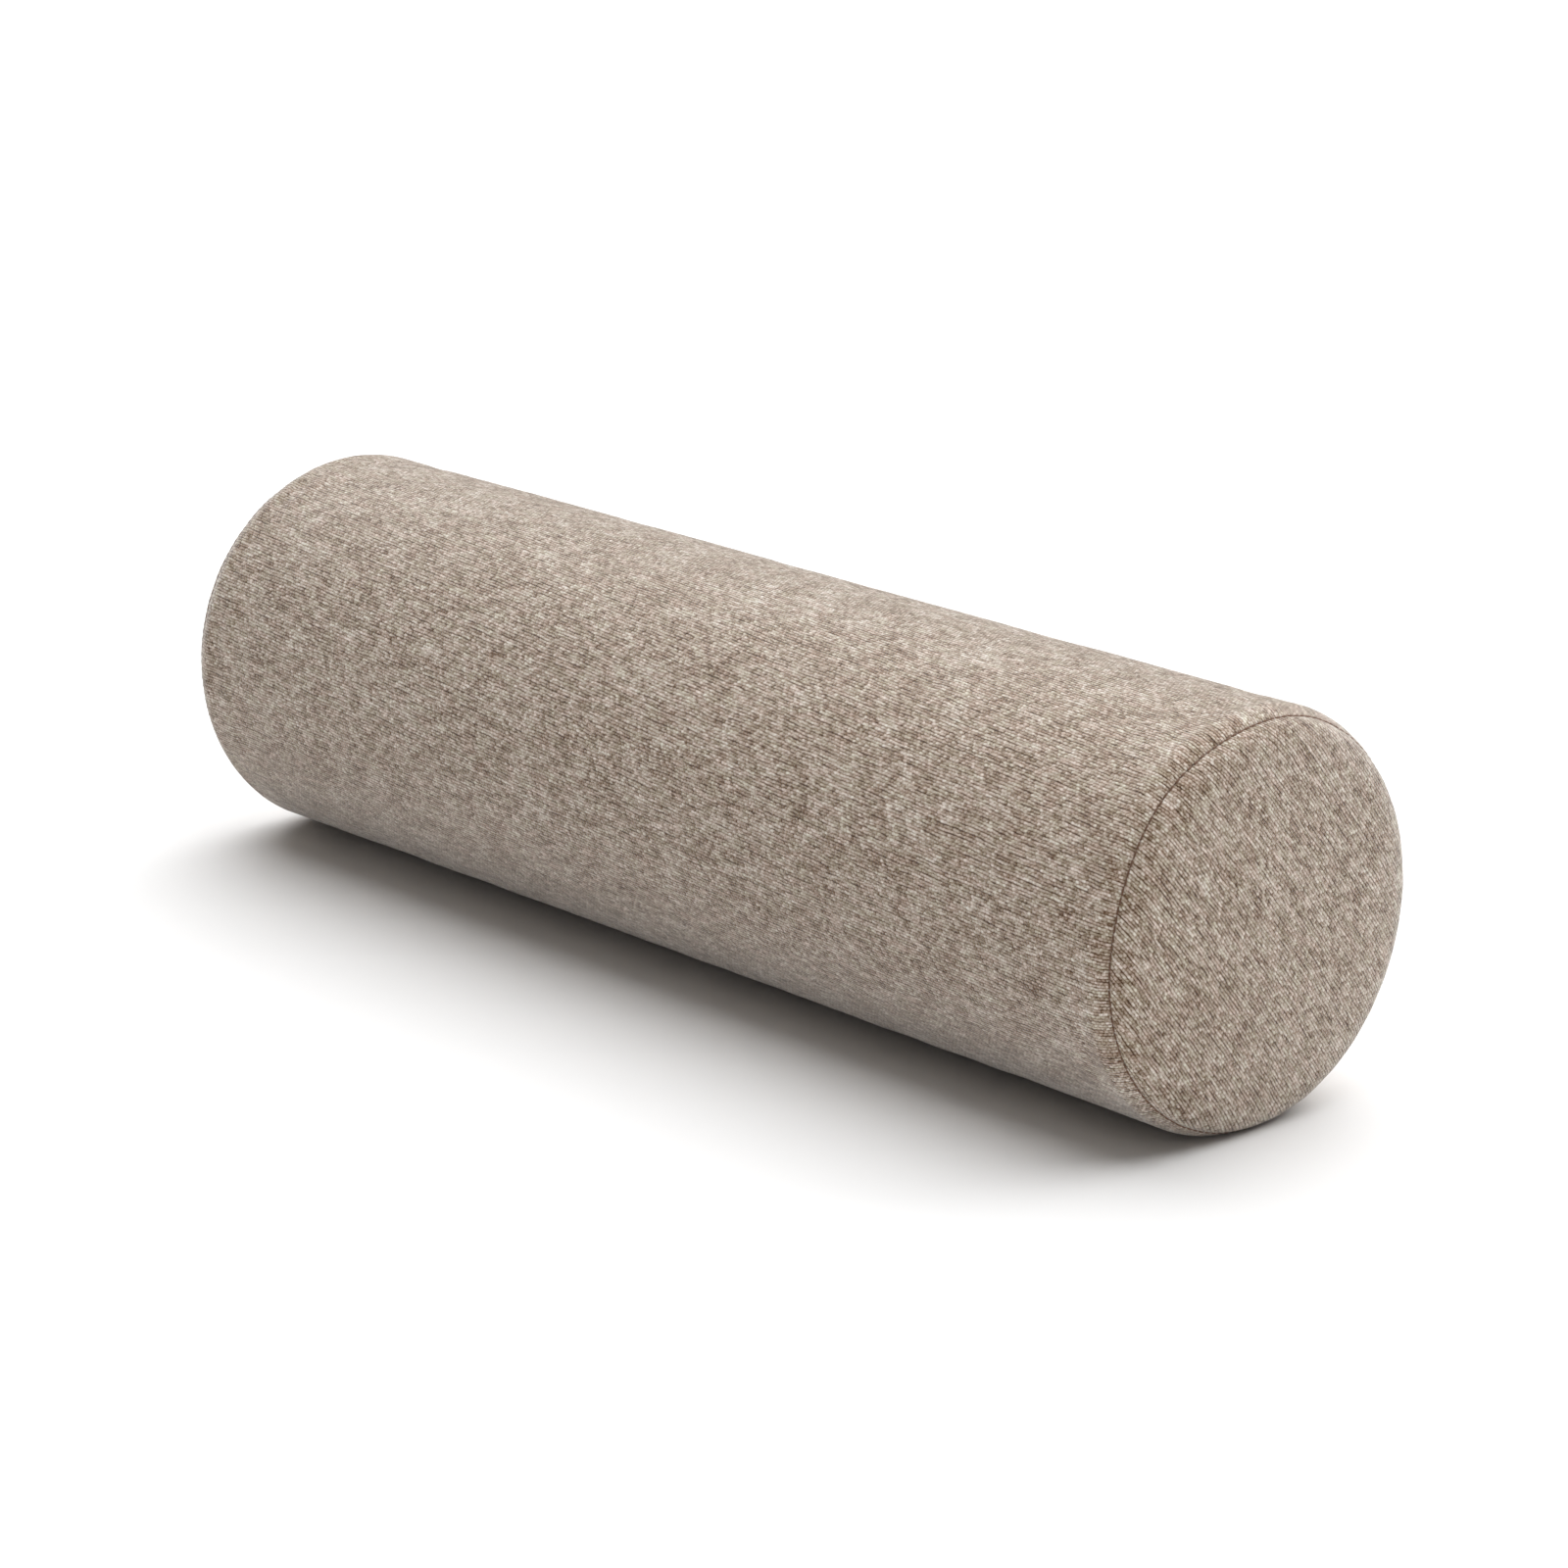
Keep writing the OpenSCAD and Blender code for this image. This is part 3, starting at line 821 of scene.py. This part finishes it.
def make_end_panel(side, label):
    """A round end, with its edge turned in and finer rings near the seam."""
    most = 288
    edge = SEAM_S + SEAM_GAP / 2
    path = [(edge + d, COVER_T / 2 + depth) for d, depth in fold_path(FINE)]
    path += [(s, COVER_T / 2) for s in spread(edge + FOLD_R, edge + FINE, 0.9 * MM)[1:]]
    counts = [most] * len(path)
    for s in spread(edge + FINE, POLE_S, 2 * MM)[1:-1]:
        reach = POLE_S - s
        count = most
        while count > 9 and 2 * math.pi * reach / count < 1.3 * MM:
            count //= 2
        counts.append(min(counts[-1], max(count, counts[-1] // 2)))
        path.append((s, COVER_T / 2))
    points, faces, cloth = end_cloth(side, path, counts)
    panel = cloth_piece(f"cover_end_{label}_cloth", points, faces, COVER_T, cloth)
    finish_piece(panel, COVER_CLOTH, "cover_fabric", f"cover_end_disc_{label}", fill=0.95)


def make_end_stitches(side, label):
    """Lockstitches down in the groove between the side and the end."""
    count = int(round(2 * math.pi * (RADIUS - 2.5 * MM) / STITCH))
    step = 2 * math.pi / count
    paths = []
    for k in range(count):
        share = np.array([0.05, 0.12, 0.28, 0.5, 0.72, 0.88, 0.95])
        sink = np.array([0.8, 0.4, 0.08, 0.0, 0.08, 0.4, 0.8]) * MM
        wander = random.normal(0, 0.06) * MM + 0.14 * MM * np.linspace(-1, 1, 7)
        phi = (k + share) * step
        paths.append(place(side * SEAM_S + wander, phi, 0.12 * MM + sink))
    stitches = tubes(f"end_seam_stitches_{label}", paths, THREAD_R)
    finish_piece(stitches, SEAM_THREAD, "sewing_thread", f"end_seam_thread_{label}")


make_body_panel()
for side, label in ENDS:
    make_end_panel(side, label)
    make_end_stitches(side, label)


# ---- Zip ----


def across_zip(x, v, depth):
    """Points at x along the zip and v up from its centre line, at a depth, unruffled."""
    return place(np.asarray(x, float), np.asarray(v, float) / RADIUS, depth, rough=0.0)


def opens(piece, side):
    """Works out where one half of the zip would swing out in a long V as the slider opens it, and
    gives the piece its own mesh.
    """
    slope = (OPEN_AT_STOP - OPEN_AT_SLIDER) / (SPLIT_X + TAPE_X)
    anchor = across_zip(0, side * CHAIN_GAP, TAPE_DEPTH)
    anchor = anchor + [SPLIT_X + OPEN_AT_SLIDER / slope, 0, 0]
    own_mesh(piece)


def make_tape(side, label, x0, x1, part):
    """A stretch of one tape. The two tapes stand a little apart past the chain."""
    x = spread(x0, x1, 3 * MM)
    past_chain = smooth(-0.5 * MM, 0.8 * MM, np.maximum(x - CHAIN_END_X, CHAIN_START_X - x))
    inner = CHAIN_GAP + (TAPE_SPLIT - CHAIN_GAP) * past_chain
    share = np.linspace(0, 1, 14)[None, :]
    v = side * (inner[:, None] + (TAPE_HALF_W - inner[:, None]) * share)
    if side < 0:
        v = v[:, ::-1]
    points = across_zip(x[:, None], v, TAPE_DEPTH).reshape(-1, 3)
    cloth = pairs(x[:, None], v)
    tape = cloth_piece(f"zip_tape_{label}_{part}", points, grid_faces(*v.shape), TAPE_T, cloth)
    return finish_piece(tape, TAPE_CLOTH, "zip_tape", f"zip_tape_{label}")


def make_coil(side, label, x0, x1, part):
    """A nylon wire wound in flat loops, whose heads lock between the other side's."""
    per_turn = 12
    turns = int((CHAIN_END_X - CHAIN_START_X) / COIL_PITCH)
    angle = np.arange(turns * per_turn + 1) * 2 * math.pi / per_turn
    shift = 0.25 if side > 0 else 0.75
    x = CHAIN_START_X + WIRE_R + (angle / (2 * math.pi) + shift) * COIL_PITCH
    lap = 2 * COIL_PITCH / per_turn
    kept = (x > x0) & (x < min(x1 + lap, CHAIN_END_X - WIRE_R))
    x, angle = x[kept], angle[kept]
    reach = (CHAIN_W / 2 - WIRE_R + COIL_OVERLAP) / 2
    v = side * (reach - COIL_OVERLAP - reach * np.cos(angle))
    depth = RADIUS - (COIL_BASE + COIL_H / 2 + (COIL_H / 2 - WIRE_R) * np.sin(angle))
    coil = tubes(f"zip_coil_{label}_{part}", [across_zip(x, v, depth)], WIRE_R, guide=(1, 0, 0))
    finish_piece(coil, COIL_NYLON, "zip_coil", f"zip_coil_{label}")

    rows = []
    for row_v in (0.275, 0.425):
        first, last = max(x0, CHAIN_START_X + 1.5 * MM), min(x1, CHAIN_END_X - 1 * MM)
        x = np.arange(first, last, COIL_PITCH / 4)
        beat = np.arange(len(x)) * math.pi / 2
        v = side * (row_v * CHAIN_W + 0.06 * MM * np.sin(beat))
        top = COIL_BASE + COIL_H - (0.055 + 0.025 * np.cos(beat)) * MM
        rows.append(across_zip(x, v, RADIUS - top))
    sewing = tubes(f"zip_coil_sewing_{label}_{part}", rows, COIL_THREAD_R)
    finish_piece(sewing, ZIP_THREAD, "sewing_thread")
    return coil, sewing


def crimped_clip(name, x0, x1, v0, v1, ridges):
    """A strip of metal bent round the tape or chain, with grooves pressed across it."""
    rows, cols = 25, 28
    across = np.linspace(0, 1, rows)
    ends = np.minimum(across, 1 - across) * (v1 - v0)
    shoulder = np.sqrt(np.clip(1 - np.clip(1 - ends / (0.5 * MM), 0, 1) ** 2, 0, 1))
    groove = 0.12 * MM * (1 - np.cos(2 * math.pi * ridges * across)) / 2
    half_h = 0.15 * MM + 0.9 * MM * shoulder - groove
    middle = COIL_BASE + COIL_H / 2
    turn = np.linspace(0, 2 * math.pi, cols, endpoint=False)
    cos, sin = np.cos(turn), np.sin(turn)
    ring = np.stack([np.sign(cos) * np.abs(cos) ** 0.45, np.sign(sin) * np.abs(sin) ** 0.45], 1)
    half_x = (x1 - x0) / 2 * (0.8 + 0.2 * shoulder)
    x = (x0 + x1) / 2 + half_x[:, None] * ring[:, 0]
    v = v0 + (v1 - v0) * across[:, None]
    depth = RADIUS - (middle + half_h[:, None] * ring[:, 1])
    points = across_zip(x, v, depth).reshape(-1, 3)
    faces = grid_faces(rows, cols, wrap=True)
    last = (rows - 1) * cols
    caps = [[0, k, k + 1, k + 1] for k in range(1, cols - 1)]
    caps += [[last, last + k + 1, last + k, last + k] for k in range(1, cols - 1)]
    return new_piece(name, points, flip(np.concatenate([faces, caps])), pairs(x, v))


def make_stops():
    """The stops are clips of metal: one on each tape, and one across the chain's closed end."""
    low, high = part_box("zip_top_stops")
    for side, label in HALVES:
        v = sorted((side * 0.9 * MM, side * 3.1 * MM))
        stop = crimped_clip(f"zip_top_stop_{label}", low.x, high.x, *v, ridges=1)
        finish_piece(stop, NICKEL, "zip_metal", "zip_top_stops")
        opens(stop, side)
    low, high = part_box("zip_bottom_stop")
    stop = crimped_clip("zip_bottom_clip", low.x, high.x, -CHAIN_W / 2, CHAIN_W / 2, ridges=2)
    finish_piece(stop, NICKEL, "zip_metal", "zip_bottom_stop")


def stitch_row(s0, s1, at_v, depth=0.0):
    """Paths of lockstitches in a row along the bolster, each dipping into the cloth at its ends."""
    count = int(round(abs(s1 - s0) / STITCH))
    ends = np.linspace(s0, s1, count + 1)
    share = np.array([0.03, 0.10, 0.22, 0.5, 0.78, 0.90, 0.97])
    sink = np.array([0.55, 0.25, 0.02, -0.06, 0.02, 0.25, 0.55]) * MM
    paths = []
    for a, b in zip(ends, ends[1:]):
        slant = random.normal(0, 0.04) * MM * np.array([1, 1, 1, 0, -1, -1, -1])
        paths.append(place(a + (b - a) * share, (at_v + slant) / RADIUS, depth + sink))
    return paths


def make_zip_stitching():
    """The rows beside the opening, the closed seam past its ends, and the tacks across them."""
    for side, label in HALVES:
        row = stitch_row(-ROW_X, ROW_X, side * (ZIP_GAP + TOPSTITCH))
        rows = tubes(f"zip_topstitch_{label}_row", row, ROW_THREAD_R)
        finish_piece(rows, SEAM_THREAD, "sewing_thread", f"zip_topstitch_{label}")

    ends = []
    for side in (-1, 1):
        ends += stitch_row(side * ROW_X, side * BACK_SEAM_X, 0, 0.45 * MM)
    seam = tubes("back_seam_stitches", ends, ROW_THREAD_R)
    finish_piece(seam, SEAM_THREAD, "sewing_thread", "back_seam_threads")

    passes = 36
    k = np.arange(passes * 4 + 1)
    swing = np.clip(1.5 * np.cos(k * math.pi / 4), -1, 1)
    tacks = []
    for side in (-1, 1):
        x = side * (TACK_X + 0.65 * MM * swing)
        v = np.linspace(-5.3, 5.3, len(k)) * MM
        dip = 0.25 * MM * np.abs(swing) ** 3
        tacks.append(across_zip(x, v, -0.14 * MM + dip))
    tack = tubes("zip_bartack_stitches", tacks, TACK_THREAD_R)
    finish_piece(tack, SEAM_THREAD, "sewing_thread", "zip_bartacks")


def finish_metal(node):
    """Rounds the edges of a metal piece of the frame and gives it its finish."""
    piece = frame["nodes"][node]
    piece.data.materials.clear()
    piece.data.materials.append(NICKEL)
    weld = piece.modifiers.new("weld", "WELD")
    weld.merge_threshold = 0.005 * MM
    bevel = piece.modifiers.new("rounded_edges", "BEVEL")
    bevel.width = 0.14 * MM
    bevel.segments = 3
    bevel.limit_method = "ANGLE"
    bevel.angle_limit = math.radians(35)
    bevel.harden_normals = True
    piece.data.shade_smooth()


for side, label in HALVES:
    opens(make_tape(side, label, -TAPE_X, SPLIT_X, "opening"), side)
    make_tape(side, label, SPLIT_X, TAPE_X, "end")
    for piece in make_coil(side, label, -TAPE_X, SPLIT_X, "opening"):
        opens(piece, side)
    make_coil(side, label, SPLIT_X, TAPE_X, "end")
make_stops()
make_zip_stitching()
finish_metal("zip_slider")
finish_metal("zip_pull_tab")


# ---- Inner casing and filling ----


def casing_depth(s):
    """The casing steps in under the cover's turned seams."""
    return (1.5 + 2.1 * smooth(230 * MM, 235 * MM, np.abs(s))) * MM


def clear_of_zip(points, depth_under):
    """Presses points in to a flat under the zip."""
    out = points @ np.array(ZIP_OUT) - AXIS_Z * ZIP_OUT.z
    limit = CHANNEL_W - depth_under
    fade = 1 - smooth(218 * MM, 226 * MM, np.abs(points[..., 0]))
    soft = 0.4 * MM
    over = out - limit
    press = (over + np.sqrt(over**2 + soft**2)) / 2 * fade
    press = np.where(np.abs(points @ np.array(ZIP_UP) - AXIS_Z * ZIP_UP.z) < 40 * MM, press, 0)
    return points - press[..., None] * np.array(ZIP_OUT)


def mirrored(middle, edge, coarse, fine):
    """Places from -edge to edge, coarse up to the middle's end and fine past it."""
    half = np.concatenate([spread(0, middle, coarse)[:-1], spread(middle, edge, fine)])
    return np.concatenate([-half[:0:-1], half])


def flat_disc(rim, first, start, middle, rings):
    """Points from start on, and faces, that close a ring of points numbered from first."""
    shares = np.linspace(0, 1, rings + 2)[1:-1]
    disc = np.concatenate([*(rim + (middle - rim) * t for t in shares), middle[None]])
    index = np.concatenate([first + np.arange(len(rim)), start + np.arange(len(disc))])
    return disc, index[disc_faces([len(rim)] * (rings + 1))]


def make_casing():
    """A calico tube and two round ends, which hold the wadding and the foam."""
    s = mirrored(228 * MM, SEAM_S - 0.2 * MM, 5 * MM, 1.6 * MM)
    phi = np.linspace(0, 2 * math.pi, 200, endpoint=False) + math.pi
    base = place(s[:, None], phi[None, :], casing_depth(s)[:, None], rough=LINED)
    points = clear_of_zip(base, CASING_T / 2).reshape(-1, 3)
    cloth = pairs(s[:, None], phi[None, :] * RADIUS)
    faces = grid_faces(len(s), len(phi), wrap=True)
    tube = cloth_piece("inner_casing_side_cloth", points, faces, CASING_T, cloth)
    finish_piece(tube, CASING_CLOTH, "casing_cloth", "inner_casing_tube", fill=0.95)
    for side, label in ENDS:
        places = [SEAM_S + 0.2 * MM, *spread(SEAM_S + 2 * MM, POLE_S, 3 * MM)[:-1]]
        path = [(s, CASING_END_DEPTH) for s in places]
        counts = halving(path, 192, 2 * MM)
        points, faces, cloth = end_cloth(side, path, counts, rough=LINED, grain=0.0)
        end = cloth_piece(f"inner_casing_{label}_cloth", points, faces, CASING_T, cloth)
        finish_piece(end, CASING_CLOTH, "casing_cloth", f"inner_casing_end_{label}", fill=0.95)


def make_wadding():
    """Fibre wadding wrapped once round the foam, its two edges meeting in a slit."""
    along = mirrored(226 * MM, CORE_HALF, 5 * MM, 2 * MM)
    phi = np.linspace(0.006, 2 * math.pi - 0.006, 180) + math.pi
    deep = (1.95 + 2.15 * smooth(227 * MM, 231 * MM, np.abs(along))) * MM
    tuft = 0.35 * MM * random.random((len(along), len(phi)))
    shell = place(along[:, None], phi[None, :], deep[:, None], rough=LINED)
    shell = clear_of_zip(shell, 0.6 * MM)
    axis = np.array([0, 0, AXIS_Z])
    radial = shell - axis
    radial[..., 0] = 0
    radial /= np.linalg.norm(radial, axis=-1, keepdims=True)
    shell = shell - radial * tuft[..., None]
    inside = axis + radial * WADDING_INNER_R
    inside[..., 0] = shell[..., 0]
    left, right = (shell[:1] + inside[:1]) / 2, (shell[-1:] + inside[-1:]) / 2
    loop = np.concatenate([shell, right, inside[::-1], left])

    rows, cols = loop.shape[:2]
    count = len(along)
    index = np.arange(rows * cols).reshape(rows, cols)
    faces = [grid_faces(rows, cols), index[[-1, 0]].ravel()[grid_faces(2, cols)]]
    outer = np.arange(count - 1)
    inner = rows - 2 - outer
    for col, turned in ((0, True), (cols - 1, False)):
        edge = index[:, col]
        quads = np.stack([edge[outer], edge[outer + 1], edge[inner - 1], edge[inner]], 1)
        corners = [edge[[count - 1, count, count + 1, count + 1]], edge[[-2, -1, 0, 0]]]
        slit = np.concatenate([quads, corners])
        faces.append(flip(slit) if turned else slit)
    lengthwise = np.concatenate([along, along[-1:], along[::-1], along[:1]])
    cloth = pairs(lengthwise[:, None], phi[None, :] * RADIUS)
    wrap = new_piece("wadding_wrap_fibre", loop.reshape(-1, 3), flip(np.concatenate(faces)), cloth)
    finish_piece(wrap, WADDING, "wadding", "wadding_wrap", fill=0.9)


def halving(path, most, finest):
    """How many points go round each ring of an end, halved towards the middle."""
    counts = []
    for s, _ in path:
        count = counts[-1] if counts else most
        if count % 2 == 0 and count > 12 and 2 * math.pi * (POLE_S - s) / count < 0.55 * finest:
            count //= 2
        counts.append(count)
    return counts


def make_wadding_ends():
    """A domed pad of wadding at each end, with a flat back against the foam."""
    for side, label in ENDS:
        path = [(s, PAD_DEPTH) for s in spread(PAD_X, POLE_S, 3 * MM)[:-1]]
        counts = halving(path, 144, 3 * MM)
        dome, faces, cloth = end_cloth(side, path, counts, rough=LINED, grain=0.0)
        rim = dome[: counts[0]]
        middle = np.array([side * PAD_X, 0, AXIS_Z])
        back, back_faces = flat_disc(rim, 0, len(dome), middle, 6)
        faces = np.concatenate([faces, flip(back_faces) if side > 0 else back_faces])
        points = np.concatenate([dome, back])
        cloth = np.concatenate([cloth, back[:, 1:]])
        pad = new_piece(f"wadding_{label}_pad", points, faces, cloth)
        finish_piece(pad, WADDING, "wadding", f"wadding_end_{label}", fill=0.85)


def make_foam():
    """A roll cut from a foam block: soft rims, and the fine ridges that the cutting wire leaves."""
    rim = 1.5 * MM
    flat = CORE_HALF - rim
    turn = np.linspace(0, math.pi / 2, 5)
    side_x = spread(0, flat, 4 * MM)[:-1]
    profile_x = np.concatenate([side_x, flat + rim * np.sin(turn)])
    profile_r = np.concatenate([np.full(len(side_x), FOAM_R), FOAM_R - rim + rim * np.cos(turn)])
    x = np.concatenate([-profile_x[:0:-1], profile_x])
    r = np.concatenate([profile_r[:0:-1], profile_r])
    around = 144
    phi = np.arange(around) * 2 * math.pi / around
    ridges = 0.12 * MM * np.sin(x / (7 * MM))[:, None] * np.sin(3 * phi + 1)[None, :]
    reach = r[:, None] - np.abs(ridges)
    ring = np.stack([x[:, None] + 0 * reach, reach * np.cos(phi), AXIS_Z + reach * np.sin(phi)], -1)
    points = [ring.reshape(-1, 3)]
    faces = [grid_faces(len(x), around, wrap=True)]
    start = ring.shape[0] * around
    for end, turned in ((0, True), (len(x) - 1, False)):
        middle = np.array([x[end], 0, AXIS_Z])
        disc, quads = flat_disc(ring[end], end * around, start, middle, 7)
        faces.append(quads if turned else flip(quads))
        points.append(disc)
        start += len(disc)
    points = np.concatenate(points)
    core = new_piece("foam_core_roll", points, flip(np.concatenate(faces)), cloth=points)
    finish_piece(core, FOAM, "foam", "foam_core", fill=1.0)


make_casing()
make_wadding()
make_wadding_ends()
make_foam()


# ---- Camera, light and floor ----

VIEW_AZIMUTH = math.radians(47.6)
VIEW_ELEVATION = math.radians(17.06)
VIEW_DISTANCE = 24.635 * RADIUS
VIEW_CENTRE = Vector((0.122, 0.056, -0.076)) * RADIUS + Vector((0, 0, AXIS_Z))


def make_camera():
    """A long lens, at the photograph's viewing angle."""
    data = bpy.data.cameras.new("camera")
    data.sensor_width = 36
    data.lens = 114.6
    data.clip_start, data.clip_end = 0.1, 50
    camera = add_object("camera", data)
    level = math.cos(VIEW_ELEVATION)
    across, ahead = math.sin(VIEW_AZIMUTH) * level, math.cos(VIEW_AZIMUTH) * level
    back = Vector((across, -ahead, math.sin(VIEW_ELEVATION)))
    camera.location = VIEW_CENTRE + back * VIEW_DISTANCE
    camera.rotation_mode = "QUATERNION"
    camera.rotation_quaternion = (-back).to_track_quat("-Z", "Y")
    bpy.context.scene.camera = camera


def add_light(name, data, strength, backward):
    """A light whose back is turned towards a direction."""
    data.energy = strength
    light = add_object(name, data)
    light.rotation_mode = "QUATERNION"
    light.rotation_quaternion = backward.to_track_quat("Z", "Y")
    return light


def add_sun(name, direction, spread_angle, strength):
    """A broad, even light that comes from a direction."""
    data = bpy.data.lights.new(name, "SUN")
    data.angle = spread_angle
    add_light(name, data, strength, Vector(direction))


def add_softbox(name, place_at, aim, size, power):
    """A square light that hangs at a place and faces another."""
    data = bpy.data.lights.new(name, "AREA")
    data.size = size
    light = add_light(name, data, power, Vector(place_at) - Vector(aim))
    light.location = place_at


def make_stage():
    """A plain pale floor, a faint even sky and three soft lights."""
    corners = 6.0 * np.array([[-1, -1, 0], [1, -1, 0], [1, 1, 0], [-1, 1, 0]])
    floor = new_piece("floor", corners, np.array([[0, 1, 2, 3]]))
    mat = Material("pale_floor")
    mottle = mat.noise(mat.own(), 3.0)
    tone = mat.ramp(mottle, [(0.0, (0.83, 0.83, 0.83)), (1.0, (0.86, 0.86, 0.86))])
    floor.data.materials.append(mat.surface(Base_Color=tone, Roughness=0.8))

    world = bpy.data.worlds.new("studio")
    bpy.context.scene.world = world
    world.use_nodes = True
    sky = world.node_tree.nodes["Background"].inputs
    sky["Color"].default_value = (1, 1, 1, 1)
    sky["Strength"].default_value = 0.20
    add_sun("overhead", (-0.23, 0.50, 1.0), math.radians(95), 4.4)
    add_sun("rim", (0.0, 1.0, 0.6), math.radians(60), 0.5)
    add_softbox("near_end", (0.18, -0.26, 0.50), (0.12, 0, AXIS_Z), 0.3, 0.15)


make_camera()
make_stage()
bpy.context.scene.view_settings.view_transform = "Standard"
